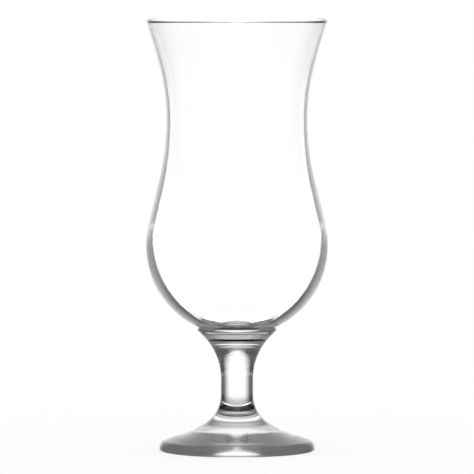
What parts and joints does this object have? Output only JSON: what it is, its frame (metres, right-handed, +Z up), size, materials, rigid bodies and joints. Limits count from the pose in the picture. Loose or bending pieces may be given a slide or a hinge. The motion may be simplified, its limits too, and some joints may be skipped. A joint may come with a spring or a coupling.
{
  "type": "hurricane glass",
  "caption": "Tulip-shaped cocktail glass with a flared rim, narrow waist and round belly, on a short solid stem and a disc foot, for long iced drinks.",
  "frame": {"origin": "centre of the standing ring, on the surface that the glass stands on", "axes": "+Z up along the glass's axis, from the foot to the rim; +X and +Y lie in the standing face, and no direction round the axis is special"},
  "size_m": [0.082, 0.082, 0.195],
  "materials": {
    "clear_glass": "clear, flame polished"
  },
  "bodies": {
    "root": {"bowl": "clear_glass", "stem": "clear_glass", "foot": "clear_glass"}
  },
  "joints": []
}
